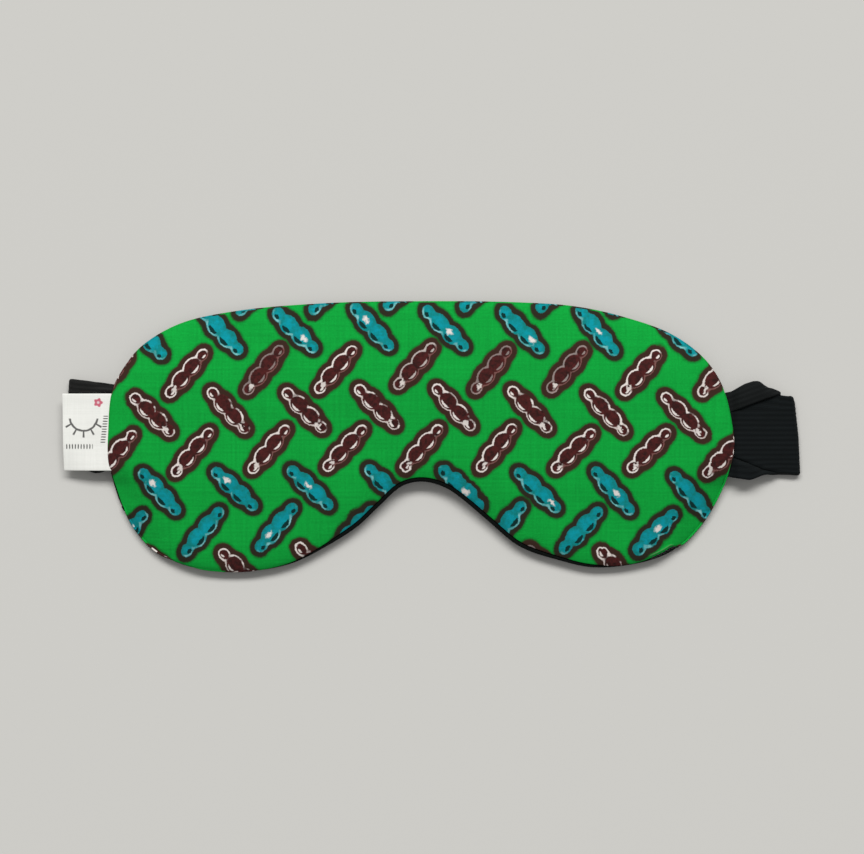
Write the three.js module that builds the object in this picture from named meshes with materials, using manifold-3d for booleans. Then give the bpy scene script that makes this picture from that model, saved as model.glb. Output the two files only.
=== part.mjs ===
// A padded sleep mask with an elastic head strap, lying face side down with the strap folded behind it.
// Millimetres. +X runs along the pad, +Y towards the wearer's forehead, +Z out of the printed front.
// The origin is on the surface the mask lies on, under the middle of the pad.
import * as THREE from "three";
import Module from "manifold-3d";

const wasm = await Module();
wasm.setup();
const { Manifold, Mesh: ManifoldMesh } = wasm;

// Clearance kept between neighbouring pieces
const GAP = 0.3;

// Elastic strap: 25 mm (1 in) ribbed webbing, folded flat behind the pad
const STRAP_WIDTH = 25.4;
const STRAP_THICKNESS = 1.2;
const STRAP_FOLD_BORE = 0.3; // inner radius of the two folds
const STRAP_SEWN_THICKNESS = 0.7; // squeezed thickness inside the seam
const SEWN_LENGTH = 5.6; // how much of each strap end is inside the pad
const POCKET_LENGTH = 20; // of the room cut for it in the seam, half of it outside the rim
const STRAP_STEPS = 14;
const FALL_AFTER_RIM = 1; // each end stays level this far past the rim
const FALL_BEFORE_FOLD = 3; // and is down this far before the fold
// Where the strap leaves each rim of the pad, and the outermost point of each fold, at mid-width
const LEFT_END = { side: -1, rim: { x: -101.4, y: 3.2 }, fold: { x: -115.8, y: 5.6 } };
const RIGHT_END = { side: 1, rim: { x: 102.3, y: -0.6 }, fold: { x: 123.7, y: 0.2 } };

// Pad: cover and lining meet at the seam and swell away from it over the edge roll
const FABRIC = 0.6;
const LINING_UNDERSIDE = STRAP_THICKNESS + GAP;
const SEAM_HEIGHT = 3.9;
const STRAP_SEWN_TOP = SEAM_HEIGHT - 0.25;
const COVER_RISE = 3.2;
const EDGE_ROLL = 12;
const SEAM_ALLOWANCE = 6;
const LINING_REVEAL = 0.5; // how far the lining's rolled edge shows beyond the cover
const LINING_RISE = SEAM_HEIGHT - GAP / 2 - LINING_UNDERSIDE;
const WADDING_INSET = SEAM_ALLOWANCE + 0.7;
const OUTLINE_STEPS = 112;
const ROLL_STEPS = 4;

// Pad outline, clockwise from the middle of the top edge, with the nose cut-out at the bottom
const PAD_OUTLINE = [
  [0, 44.2], [30, 43.9], [50, 42.6], [66, 39.2], [82, 33.4], [92.6, 25.4], [98.4, 16.5], [101.4, 5.2],
  [102.3, -3.5], [100, -12.9], [96.5, -20.8], [91.7, -28.6], [84.2, -36.1], [73.8, -40.6], [57, -42.6],
  [45.5, -40.3], [32.5, -35.8], [21.9, -27.2], [14, -20.5], [8.5, -16.7], [1.3, -14.6], [-5.6, -15.9],
  [-13.5, -22.8], [-20.2, -29.1], [-29.3, -35], [-42.3, -41.4], [-58, -44], [-74.7, -42.5],
  [-87.1, -36.7], [-96.5, -24.2], [-101.2, -9.4], [-101.4, 2], [-100.1, 15.2], [-96.2, 22.8],
  [-90.6, 29.6], [-78.5, 36.8], [-60, 41], [-30, 43.6],
];

// Fabric label: a strip folded in half, its cut ends caught in the left seam
const LABEL_THICKNESS = 0.5;
const LABEL_HEIGHT = STRAP_SEWN_TOP + GAP + LABEL_THICKNESS / 2; // mid-thickness
const LABEL_SEWN_X = -95.9;
const LABEL_BOTTOM = -11;
const LABEL_TOP = 14.1;
const LABEL_HINGE_X = -101.8;
const LABEL_FREE_X = -116.5;

// Sewing thread
const THREAD_RADIUS = 0.2;
const SEAM_LINE_INSET = 1.9;
const OVER_ENDS_INSET = 3.4; // the seam line climbs over the strap and label ends
const OVER_LABEL_HEIGHT = LABEL_HEIGHT + LABEL_THICKNESS / 2 + GAP + THREAD_RADIUS;
const OVER_STRAP_HEIGHT = STRAP_SEWN_TOP + GAP + THREAD_RADIUS;
const TURNING_GAP = { from: 0.314, to: 0.334 }; // fractions of the outline, clockwise
const CLOSING_STITCHES = 6;
const STITCH_REACH = 0.7; // above and below the seam
const STITCH_STANDOFF = GAP + THREAD_RADIUS + 0.05; // outside the rim
const SEAM_THREAD_STEPS = 90;
// The seam line climbs where X is past nearX and Y is within nearY of the ends' middle
const ENDS_ZONE = { outsideX: 88, nearX: 95, middleY: 1.5, nearY: 17, outsideY: 24 };
// Bar tacks: how far they stop short of the strap's edges, and how far each pass swings
const TACK_MARGIN = 4;
const TACK_SWING = 0.6;
const TACK_PASSES = 16;
const LEFT_TACK = { x: LABEL_SEWN_X, y: 1.6 };
const RIGHT_TACK = { x: RIGHT_END.rim.x - 4.7, y: RIGHT_END.rim.y };

const padCurve = new THREE.CatmullRomCurve3(
  PAD_OUTLINE.map(([x, y]) => new THREE.Vector3(x, y, 0)),
  true,
  "centripetal",
);

// A point of the pad outline moved inwards by inset, at a fraction of the way round
function outlinePoint(fraction, inset) {
  const tangent = padCurve.getTangentAt(fraction);
  const inwards = new THREE.Vector3(tangent.y, -tangent.x, 0);
  return padCurve.getPointAt(fraction).addScaledVector(inwards, inset);
}

function solidOf(geometry) {
  const flat = geometry.index ? geometry.toNonIndexed() : geometry;
  const mesh = new ManifoldMesh({
    numProp: 3,
    vertProperties: flat.attributes.position.array,
    triVerts: Uint32Array.from({ length: flat.attributes.position.count }, (_, i) => i),
  });
  mesh.merge();
  return new Manifold(mesh);
}

function geometryOf(solid) {
  const mesh = solid.getMesh();
  const geometry = new THREE.BufferGeometry();
  geometry.setAttribute("position", new THREE.BufferAttribute(mesh.vertProperties, 3));
  geometry.setIndex(new THREE.BufferAttribute(mesh.triVerts, 1));
  return geometry;
}

// A box from its low corner to its high corner
function block(low, high) {
  const size = high.map((value, axis) => value - low[axis]);
  const middle = high.map((value, axis) => (value + low[axis]) / 2);
  return solidOf(new THREE.BoxGeometry(...size).translate(...middle));
}

// A cushion shape centred on the seam plane, whose rounded edge is a quarter ellipse
function pillow(inset, rise) {
  const points = [];
  for (let i = 0; i < OUTLINE_STEPS; i++) {
    const point = outlinePoint(i / OUTLINE_STEPS, inset);
    points.push(new THREE.Vector2(point.x, point.y));
  }
  const roll = EDGE_ROLL - inset;
  const plate = 0.02;
  return solidOf(
    new THREE.ExtrudeGeometry(new THREE.Shape(points), {
      depth: plate,
      bevelSize: roll,
      bevelOffset: -roll,
      bevelThickness: rise - plate / 2,
      bevelSegments: ROLL_STEPS,
    }).translate(0, 0, -plate / 2),
  );
}

const ABOVE = block([-150, -80, 0], [150, 80, 20]);
const BELOW = block([-150, -80, -20], [150, 80, 0]);

// Slants a band along X, centred on Y = 0, so that its mid-line passes through two points
function slant(band, from, to) {
  const slope = (to.y - from.y) / (to.x - from.x);
  const offset = from.y - slope * from.x;
  const shear = new THREE.Matrix4().set(
    1, 0, 0, 0,
    slope, 1, 0, offset,
    0, 0, 1, 0,
    0, 0, 0, 1,
  );
  return band.applyMatrix4(shear);
}

// Room inside the seam for one strap end
function strapPocket({ rim, fold }) {
  const room = [POCKET_LENGTH, STRAP_WIDTH + 2 * GAP, STRAP_SEWN_THICKNESS + 2 * GAP];
  const box = new THREE.BoxGeometry(...room);
  box.translate(rim.x, 0, STRAP_SEWN_TOP - STRAP_SEWN_THICKNESS / 2);
  return solidOf(slant(box, rim, fold));
}

function labelPocket() {
  const half = LABEL_THICKNESS / 2 + GAP;
  return block(
    [LABEL_FREE_X, LABEL_BOTTOM - GAP, LABEL_HEIGHT - half],
    [LABEL_SEWN_X + 2 * GAP, LABEL_TOP + GAP, LABEL_HEIGHT + half],
  );
}

const seamPockets = strapPocket(LEFT_END).add(strapPocket(RIGHT_END)).add(labelPocket());

function frontCover() {
  const shell = pillow(LINING_REVEAL, COVER_RISE)
    .intersect(ABOVE)
    .subtract(pillow(LINING_REVEAL + FABRIC, COVER_RISE - FABRIC));
  return geometryOf(shell.translate([0, 0, SEAM_HEIGHT + GAP / 2]).subtract(seamPockets));
}

function backLining() {
  const shell = pillow(0, LINING_RISE)
    .intersect(BELOW)
    .subtract(pillow(FABRIC, LINING_RISE - FABRIC));
  return geometryOf(shell.translate([0, 0, SEAM_HEIGHT - GAP / 2]).subtract(seamPockets));
}

function wadding() {
  const upper = pillow(WADDING_INSET, COVER_RISE - FABRIC - GAP / 2).intersect(ABOVE);
  const lower = pillow(WADDING_INSET, LINING_RISE - FABRIC - GAP / 2).intersect(BELOW);
  return geometryOf(upper.add(lower).translate([0, 0, SEAM_HEIGHT]));
}

// Turns a side view drawn in X and Z into a band of the given width along Y, centred on Y = 0
function bandFromSideView(sideView, width) {
  const band = new THREE.ExtrudeGeometry(sideView, { depth: width, bevelEnabled: false, curveSegments: 8 });
  return band.rotateX(Math.PI / 2).translate(0, width / 2, 0);
}

const FOLD_OUTER = STRAP_FOLD_BORE + STRAP_THICKNESS;
const LEFT_BEND_X = LEFT_END.fold.x + FOLD_OUTER;
const RIGHT_BEND_X = RIGHT_END.fold.x - FOLD_OUTER;
const UPPER_LAYER = STRAP_THICKNESS + 2 * STRAP_FOLD_BORE; // underside of the strap past its fold

// The strap from fold to fold behind the pad, with both folds
function strapRearRun() {
  const side = new THREE.Shape();
  side.moveTo(LEFT_BEND_X, 0);
  side.lineTo(RIGHT_BEND_X, 0);
  side.absarc(RIGHT_BEND_X, FOLD_OUTER, FOLD_OUTER, -Math.PI / 2, Math.PI / 2, false);
  side.absarc(RIGHT_BEND_X, FOLD_OUTER, STRAP_FOLD_BORE, Math.PI / 2, -Math.PI / 2, true);
  side.lineTo(LEFT_BEND_X, STRAP_THICKNESS);
  side.absarc(LEFT_BEND_X, FOLD_OUTER, STRAP_FOLD_BORE, -Math.PI / 2, -1.5 * Math.PI, true);
  side.absarc(LEFT_BEND_X, FOLD_OUTER, FOLD_OUTER, Math.PI / 2, 1.5 * Math.PI, false);
  const band = bandFromSideView(side, STRAP_WIDTH);
  return slant(band, LEFT_END.fold, RIGHT_END.fold);
}

// One end of the strap: out of the seam, over the pad's rolled edge and down to the fold
function strapEnd({ side, rim, fold }) {
  const sewnX = rim.x - side * SEWN_LENGTH;
  const foldX = fold.x - side * (FOLD_OUTER + GAP);
  const fallFrom = side * rim.x + FALL_AFTER_RIM;
  const fallTo = side * foldX - FALL_BEFORE_FOLD;
  const top = [];
  const bottom = [];
  for (let i = 0; i <= STRAP_STEPS; i++) {
    const x = THREE.MathUtils.lerp(sewnX, foldX, i / STRAP_STEPS);
    const fall = THREE.MathUtils.smoothstep(side * x, fallFrom, fallTo);
    const under = THREE.MathUtils.lerp(STRAP_SEWN_TOP - STRAP_SEWN_THICKNESS, UPPER_LAYER, fall);
    const thickness = THREE.MathUtils.lerp(STRAP_SEWN_THICKNESS, STRAP_THICKNESS, fall);
    bottom.push(new THREE.Vector2(x, under));
    top.unshift(new THREE.Vector2(x, under + thickness));
  }
  const band = bandFromSideView(new THREE.Shape([...bottom, ...top]), STRAP_WIDTH);
  return slant(band, rim, fold);
}

// A strip of label fabric from one X to another, with rounded edges
function labelStrip(fromX, toX) {
  const radius = LABEL_THICKNESS / 2;
  const side = new THREE.Shape();
  side.absarc(fromX, 0, radius, Math.PI / 2, 1.5 * Math.PI, false);
  side.absarc(toX, 0, radius, -Math.PI / 2, Math.PI / 2, false);
  return bandFromSideView(side, LABEL_TOP - LABEL_BOTTOM);
}

// A length of thread through the given points
function thread(points, segments) {
  const section = new THREE.Shape().absarc(0, 0, THREAD_RADIUS, 0, 2 * Math.PI, false);
  return new THREE.ExtrudeGeometry(section, {
    extrudePath: new THREE.CatmullRomCurve3(points, false, "centripetal"),
    steps: segments,
    curveSegments: 3,
  });
}

// The seam's thread, from one side of the turning gap round to the other
function seamThread() {
  const { outsideX, nearX, middleY, nearY, outsideY } = ENDS_ZONE;
  const points = [];
  for (let i = 0; i <= SEAM_THREAD_STEPS; i++) {
    const along = THREE.MathUtils.lerp(TURNING_GAP.to, 1 + TURNING_GAP.from, i / SEAM_THREAD_STEPS);
    const fraction = along % 1;
    const rim = outlinePoint(fraction, 0);
    const inX = THREE.MathUtils.smoothstep(Math.abs(rim.x), outsideX, nearX);
    const inY = 1 - THREE.MathUtils.smoothstep(Math.abs(rim.y - middleY), nearY, outsideY);
    const climb = inX * inY;
    const point = outlinePoint(fraction, THREE.MathUtils.lerp(SEAM_LINE_INSET, OVER_ENDS_INSET, climb));
    points.push(point.setZ(THREE.MathUtils.lerp(SEAM_HEIGHT, OVER_LABEL_HEIGHT, climb)));
  }
  return thread(points, 2 * SEAM_THREAD_STEPS);
}

// A bar tack: thread run to and fro across the strap's sewn end
function strapTack(middle, height) {
  const reach = STRAP_WIDTH / 2 - TACK_MARGIN;
  const points = [];
  for (let i = 0; i <= TACK_PASSES; i++) {
    const x = middle.x + (i % 2 ? TACK_SWING : -TACK_SWING);
    const y = middle.y + THREE.MathUtils.lerp(-reach, reach, i / TACK_PASSES);
    points.push(new THREE.Vector3(x, y, height));
  }
  return thread(points, 4 * TACK_PASSES);
}

// Hand stitches that whip the turning gap shut, just outside the rim
function closingStitches() {
  const points = [];
  for (let i = 0; i <= 2 * CLOSING_STITCHES; i++) {
    const along = THREE.MathUtils.lerp(TURNING_GAP.from, TURNING_GAP.to, i / (2 * CLOSING_STITCHES));
    const point = outlinePoint(along, -STITCH_STANDOFF);
    points.push(point.setZ(SEAM_HEIGHT + (i % 2 ? STITCH_REACH : -STITCH_REACH)));
  }
  return thread(points, 8 * CLOSING_STITCHES);
}

function fabric(color, roughness) {
  return new THREE.MeshStandardMaterial({ color, roughness, metalness: 0 });
}

const printedCotton = fabric(0x0aa338, 0.85);
const blackCotton = fabric(0x17191a, 0.85);
const polyesterWadding = fabric(0xe9e7e0, 0.95);
const elasticWebbing = fabric(0x1c1f20, 0.75);
const whiteTape = fabric(0xf1efe8, 0.8);
const blackThread = fabric(0x202223, 0.6);

function piece(name, geometry, material, position = [0, 0, 0]) {
  const mesh = new THREE.Mesh(geometry, material);
  mesh.name = name;
  mesh.position.set(...position);
  return mesh;
}

const pad = new THREE.Group();
pad.add(
  piece("front_cover", frontCover(), printedCotton),
  piece("wadding", wadding(), polyesterWadding),
  piece("back_lining", backLining(), blackCotton),
  piece("seam_thread", seamThread(), blackThread),
  piece("closing_stitches", closingStitches(), blackThread),
);

const strap = new THREE.Group();
strap.add(
  piece("strap_rear_run", strapRearRun(), elasticWebbing),
  piece("strap_left_end", strapEnd(LEFT_END), elasticWebbing),
  piece("strap_right_end", strapEnd(RIGHT_END), elasticWebbing),
  piece("strap_tack_left", strapTack(LEFT_TACK, OVER_LABEL_HEIGHT), blackThread),
  piece("strap_tack_right", strapTack(RIGHT_TACK, OVER_STRAP_HEIGHT), blackThread),
);

const labelY = (LABEL_TOP + LABEL_BOTTOM) / 2;
const sewnEndX = LABEL_HINGE_X + LABEL_THICKNESS + GAP;
const label = new THREE.Group();
label.position.set(0, labelY, LABEL_HEIGHT);
label.add(
  piece("label", labelStrip(LABEL_FREE_X + LABEL_THICKNESS / 2, LABEL_HINGE_X), whiteTape),
  piece("label_sewn_end", labelStrip(sewnEndX, LABEL_SEWN_X), whiteTape),
);

const sleepMask = new THREE.Group();
sleepMask.add(pad, strap, label);

export default sleepMask;
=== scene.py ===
# The looks of a padded sleep mask that lies on its folded elastic strap.
# Lengths in the mesh code are millimetres, and MM turns them into Blender's metres.
# +X runs along the pad, +Y towards the wearer's forehead, +Z out of the printed front.
# A side is 1 for the pad's right end or its front, and -1 for its left end or its back.
import math
from functools import partialmethod

import bpy
import numpy as np
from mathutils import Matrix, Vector, noise
from mathutils.geometry import delaunay_2d_cdt


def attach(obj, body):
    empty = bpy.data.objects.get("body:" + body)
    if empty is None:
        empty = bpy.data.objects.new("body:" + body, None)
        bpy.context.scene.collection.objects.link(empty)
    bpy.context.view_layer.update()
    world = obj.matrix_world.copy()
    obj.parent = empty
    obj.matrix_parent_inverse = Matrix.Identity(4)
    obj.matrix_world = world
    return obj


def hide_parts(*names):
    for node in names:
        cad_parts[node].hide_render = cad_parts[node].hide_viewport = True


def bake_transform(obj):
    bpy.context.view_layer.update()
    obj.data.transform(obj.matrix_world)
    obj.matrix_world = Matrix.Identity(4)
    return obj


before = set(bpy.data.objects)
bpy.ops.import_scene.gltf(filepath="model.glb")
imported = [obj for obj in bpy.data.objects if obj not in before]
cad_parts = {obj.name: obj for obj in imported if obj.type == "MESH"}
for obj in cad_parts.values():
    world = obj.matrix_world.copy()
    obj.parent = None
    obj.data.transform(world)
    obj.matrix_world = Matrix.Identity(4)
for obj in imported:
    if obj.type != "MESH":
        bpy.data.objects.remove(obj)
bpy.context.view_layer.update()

scene = bpy.context.scene
MM = 0.001

# Pad outline, clockwise from the middle of the top edge, as in the CAD
PAD_OUTLINE = [
    (0, 44.2), (30, 43.9), (50, 42.6), (66, 39.2), (82, 33.4), (92.6, 25.4), (98.4, 16.5), (101.4, 5.2),
    (102.3, -3.5), (100, -12.9), (96.5, -20.8), (91.7, -28.6), (84.2, -36.1), (73.8, -40.6), (57, -42.6),
    (45.5, -40.3), (32.5, -35.8), (21.9, -27.2), (14, -20.5), (8.5, -16.7), (1.3, -14.6), (-5.6, -15.9),
    (-13.5, -22.8), (-20.2, -29.1), (-29.3, -35), (-42.3, -41.4), (-58, -44), (-74.7, -42.5),
    (-87.1, -36.7), (-96.5, -24.2), (-101.2, -9.4), (-101.4, 2), (-100.1, 15.2), (-96.2, 22.8),
    (-90.6, 29.6), (-78.5, 36.8), (-60, 41), (-30, 43.6),
]
RIM_X = {1: 102.3, -1: -101.4}  # the pad's two ends
RIM_POINTS = 384
GRID_SPACING = 2.6

# Section of the pad
SEAM_HEIGHT = 3.9
COVER_RISE = 3.2
LINING_RISE = 2.25
CROWN = 0.5  # more height in the middle of the front
PUCKER = 0.16
CLOTH_THICKNESS = 0.5
EDGE_ROLL = 12  # reach of the rounded edge
ROLL_RINGS = 9  # rings on each side of the seam
RING_COUNT = 2 * ROLL_RINGS + 1
ROLL_END = math.radians(54)  # angle round the edge roll where the rings end
LOWER_EDGE_BELOW = -12
TUCKED_ANGLE = -8  # the seam's angle round the edge roll, out of sight
# Where the lining rolls forward along the lower edge: X, and the seam's angle
LOWER_SEAM_ANGLES = [
    (-101, 8), (-99, 10), (-96, -2), (-92, -8), (-84, -8), (-80, 5), (-75, 4), (-71, -8), (-56, -8),
    (-50, 4), (-45, 9), (-31, 20), (-24, 26), (38, 27),
    (58, 21), (66, 4), (71.5, 8), (76, 19), (80, 23), (83.4, 28), (84.6, -8), (92, -8),
]

# How the pad lies
SWELLING = {
    "quality": 5, "mass": 0.15, "use_pressure": True, "uniform_pressure_force": 4, "tension_stiffness": 25,
    "compression_stiffness": 10, "bending_stiffness": 0.4, "vertex_group_mass": "held",
}
SWELL_CAP = 0.9  # the most that it may move a point
CORNER_PRESS = 0.64  # how far the lower corners flatten on the table
SAG = 1.3  # how far the long edges hang beside the strap

# Seam
SEAM_GROOVE = 0.14
LIP_DEPTH = 0.7
LIP_DROP_SHARE = 0.55  # how far the lip stays behind a lifted edge
COVER_LIFT_STRAP = 0.35  # over the strap's ends
COVER_LIFT_DOUBLE = 0.55  # more where the label or the flap lies on the strap
LINING_LIFT = -0.75
EDGE_LIFT_SHARES = (0.93, 0.72, 0.47, 0.26, 0.1)  # how the rings behind a lifted edge follow it
CLOSED_GAP = (74.5, 83.6)  # X range of the hand-closed turning gap
RIDGE_RING = 6  # carries the closed gap's folded edge
# Y ranges in which each thing leaves the rim
LEFT_STRAP_Y = (-8, 15)
RIGHT_STRAP_Y = (-12, 13)
LABEL_Y = (-10, 13)
FLAP_Y = (5.5, 14)

# Strap
STRAP_WIDTH = 25.4
STRAP_THICKNESS = 1.2
STRAP_SEWN_THICKNESS = 0.7
STRAP_SEWN_MIDDLE = 3.3  # height of the strap's middle in the seam
UPPER_LAYER_MIDDLE = 2.0  # and beside its folds
FALLEN_X = {1: 118.5, -1: -110.5}  # where the upper layer has come down
RIB_PITCH = 1.6
RIB_DEPTH = 0.1
FOLD_RADIUS = 0.9
FOLD_REACH = FOLD_RADIUS + STRAP_THICKNESS / 2
CRISP_ANGLE = math.radians(55)  # the band's edges stay crisp beyond this
REAR_LOWER = STRAP_THICKNESS / 2
JOIN_X = 106  # where each fold joins the rear run's straight part
LEFT_FOLD = (-115.8, 5.6)
RIGHT_FOLD = (123.7, 0.2)
# X of the folds' outer edges, by the share of the way over the band
FOLD_X = {
    1: [(0, 124.1), (0.03, 124.25), (0.5, 123.7), (0.93, 122.5), (0.975, 122.1), (1, 121.6)],
    -1: [(0, -115.9), (0.5, -115.5), (0.97, -114.75), (1, -114.5)],
}
SEWN_X = {1: 97, -1: -96.2}  # the band's ends, inside the seam
ACROSS = np.linspace(0, STRAP_WIDTH, 97)  # places over the strap's width, six to a rib
ACROSS_SHARE = ACROSS / STRAP_WIDTH

# Label
LABEL_LOW, LABEL_HIGH = -11.0, 14.15
LABEL_SEWN_X = -95.8
LABEL_HEIGHT = 4.22
TAPE_THICKNESS = 0.24
LABEL_LOOP = 0.3  # radius of its soft fold

# Print: rows of slanting capsule shapes, turquoise and wine red
MOTIF_SPACING = 24.6
ROW_SPACING = 12.87
ROW_SHIFT = 13.5
TOP_ROW = (-4.5, 48.1)
PRINT_ARCH = 2.74e-4
PRINT_WRAP = 0.82  # the cut cloth is eased in round the edge
LOBE_INNER, LOBE_OUTER = 2.85, 8.1  # from the motif's centre to its lobes' centres
MIDDLE_LOBE, END_LOBE = 3.02, 2.06  # half widths
LOBE_STRETCH, END_STRETCH = 0.78, 0.86  # width of a lobe over its length
OUTLINE_WIDTH = 1.58
MOTIF_SIZE = 0.94


# ------------ curves and meshes

def lengths(vectors):
    return np.linalg.norm(vectors, axis=-1)


def unit(vectors):
    return vectors / lengths(vectors)[..., None]


def stacked(*values):
    """Points from their coordinates, each an array or one number for all."""
    return np.stack(np.broadcast_arrays(*values), axis=-1)


def travelled(points, axis=0):
    """How far along its line each point is."""
    steps = lengths(np.diff(points, axis=axis))
    return np.insert(np.cumsum(steps, axis=axis), 0, 0, axis=axis)


def closed_curve(points, count):
    """Centripetal Catmull-Rom curve through the points, evenly spaced: places and inward directions."""
    points = np.array(points, float)
    before, after, beyond = (np.roll(points, shift, axis=0) for shift in (1, -1, -2))
    spans = (points - before, after - points, beyond - after)
    knots = [np.sqrt(lengths(span))[:, None] for span in spans]
    chord = (after - points) / knots[1]
    leave = knots[1] * ((points - before) / knots[0] - (after - before) / (knots[0] + knots[1]) + chord)
    arrive = knots[1] * (chord - (beyond - points) / (knots[1] + knots[2]) + (beyond - after) / knots[2])
    t = np.arange(0, 1, 0.025)[None, :, None]
    points, after, leave, arrive = (a[:, None] for a in (points, after, leave, arrive))
    line = ((2 * t**3 - 3 * t**2 + 1) * points + (t**3 - 2 * t**2 + t) * leave
            + (3 * t**2 - 2 * t**3) * after + (t**3 - t**2) * arrive).reshape(-1, 2)
    line = np.vstack([line, line[:1]])
    length = travelled(line)
    wanted = np.arange(count) / count * length[-1]
    place = stacked(*(np.interp(wanted, length, values) for values in line.T))
    along = unit(np.roll(place, -1, axis=0) - np.roll(place, 1, axis=0))
    return place, stacked(along[:, 1], -along[:, 0])


def ramp(value, low, high):
    """0 up to low and 1 from high on."""
    t = np.clip((np.asarray(value, float) - low) / (high - low), 0, 1)
    return t * t * (3 - 2 * t)


def hump(value, low, full, fading, high):
    """1 from full to fading, and 0 below low and beyond high."""
    return ramp(value, low, full) * (1 - ramp(value, fading, high))


def line_through(x, stations):
    """A value read from a few (x, value) stations, joined by straight lines."""
    xs, values = np.array(stations, float).T
    return np.interp(x, xs, values)


def through(x, stations):
    """The same, with rounded corners."""
    spread = np.linspace(-1, 1, 9)
    return sum(line_through(np.asarray(x) + s, stations) for s in spread) / len(spread)


def uneven(x, y, size, seed):
    """Gentle hand-sewn unevenness, from -1 to 1."""
    return noise.noise(Vector((x / size, y / size, seed)))


def inside(points, polygon):
    """Which points are inside a closed polygon."""
    x, y = points.T[:, :, None]
    from_x, from_y = polygon.T
    to_x, to_y = np.roll(polygon, -1, axis=0).T
    crossing = from_x + (y - from_y) / (to_y - from_y + 1e-12) * (to_x - from_x)
    hits = ((from_y > y) != (to_y > y)) & (x < crossing)
    return hits.sum(axis=1) % 2 == 1


def gap_to(points, line):
    """The distance from each point to the nearest point of a line."""
    return lengths(points[:, None, :2] - line).min(axis=1)


def fill_outline(polygon):
    """Fills a polygon over an even grid: the grid's points, and faces that count the polygon's first."""
    low, high = polygon.min(0), polygon.max(0)
    rows = []
    for i, y in enumerate(np.arange(low[1], high[1], GRID_SPACING * math.sqrt(3) / 2)):
        xs = np.arange(low[0] + (i % 2) * GRID_SPACING / 2, high[0], GRID_SPACING)
        rows.append(stacked(xs, y))
    grid = np.vstack(rows)
    grid = grid[inside(grid, polygon)]
    grid = grid[gap_to(grid, polygon) > 0.6 * GRID_SPACING]
    plan = np.vstack([polygon, grid])
    count = len(polygon)
    edges = [(i, (i + 1) % count) for i in range(count)]
    border = [list(range(count))]
    _, _, cells, origins, _, _ = delaunay_2d_cdt([Vector(p) for p in plan], edges, border, 1, 1e-6)
    return grid, [[origins[v][0] for v in cell] for cell in cells]


def ring_quads(rings, around=RIM_POINTS):
    """Quads between neighbouring rings of points, counted ring by ring."""
    count = np.arange(rings * around).reshape(rings, around)
    after = np.roll(count, -1, axis=1)
    return stacked(count[:-1], after[:-1], after[1:], count[1:]).reshape(-1, 4).tolist()


def turned(faces):
    return [f[::-1] for f in faces]


def closed_body(top, border, total):
    """The top's faces, the same turned over and total points on, and a wall round the border."""
    bottom = turned([[v + total for v in f] for f in top])
    return top + bottom + [[a, b, b + total, a + total] for a, b in zip(border, border[1:] + border[:1])]


def new_object(name, points, faces):
    mesh = bpy.data.meshes.new(name)
    mesh.from_pydata((np.array(points) * MM).tolist(), [], [list(map(int, f)) for f in faces])
    thing = bpy.data.objects.new(name, mesh)
    scene.collection.objects.link(thing)
    return thing


def new_piece(name, slot, points, faces, pattern=None):
    """A piece of the object. Its pattern gives each point's X and Y on the flat cloth, and a third number:
    how worn the cover is, how much painted light lightens the elastic, or 1 on the label's upper half."""
    piece = new_object(name, points, faces)
    mesh = piece.data
    if pattern is not None:
        layer = mesh.attributes.new("cloth", "FLOAT_VECTOR", "POINT")
        layer.data.foreach_set("vector", pattern.astype(np.float32).ravel())
    mesh.shade_smooth()
    mesh.materials.append(MATERIALS[slot])
    return piece


def refine(piece, thickness=0):
    """Subdivides a piece, and gives it a thickness behind its surface."""
    piece.modifiers.new("subdivision", "SUBSURF").levels = 1
    if thickness:
        piece.modifiers.new("thickness", "SOLIDIFY").thickness = thickness * MM
    graph = bpy.context.evaluated_depsgraph_get()
    done = bpy.data.meshes.new_from_object(
        piece.evaluated_get(graph), preserve_all_data_layers=True, depsgraph=graph)
    piece.modifiers.clear()
    piece.data = done
    done.shade_smooth()


# ------------ node materials

class Field:
    """A number at each point of a surface, worked out by math nodes."""

    def __init__(self, tree, socket):
        self.tree = tree
        self.socket = socket

    def math(self, operation, *others, clamp=False):
        node = self.tree.nodes.new("ShaderNodeMath")
        node.operation = operation
        node.use_clamp = clamp
        for place, value in enumerate((self, *others)):
            feed(self.tree, value, node.inputs[place])
        return Field(self.tree, node.outputs[0])

    __add__ = __radd__ = partialmethod(math, "ADD")
    __mul__ = __rmul__ = partialmethod(math, "MULTIPLY")
    __sub__ = partialmethod(math, "SUBTRACT")
    __truediv__ = partialmethod(math, "DIVIDE")
    __neg__ = partialmethod(math, "MULTIPLY", -1)
    absolute = partialmethod(math, "ABSOLUTE")
    sine = partialmethod(math, "SINE")
    cosine = partialmethod(math, "COSINE")
    most = partialmethod(math, "MAXIMUM")
    clamped = partialmethod(math, "MULTIPLY", 1, clamp=True)

    def within(self, limit, soft=0.22):
        """1 where the number is under the limit, 0 where it is over, with a soft edge."""
        return (self * (-1 / soft) + (limit / soft + 0.5)).clamped()

    def beyond(self, limit, soft=0.22):
        return (self * (1 / soft) + (0.5 - limit / soft)).clamped()


def feed(tree, value, socket):
    """Links a field or a node's output to a socket, or sets the socket to a plain value."""
    value = value.socket if isinstance(value, Field) else value
    if isinstance(value, bpy.types.NodeSocket):
        tree.links.new(value, socket)
    else:
        socket.default_value = value


def distance(x, y):
    return (x * x + y * y).math("SQRT")


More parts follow.
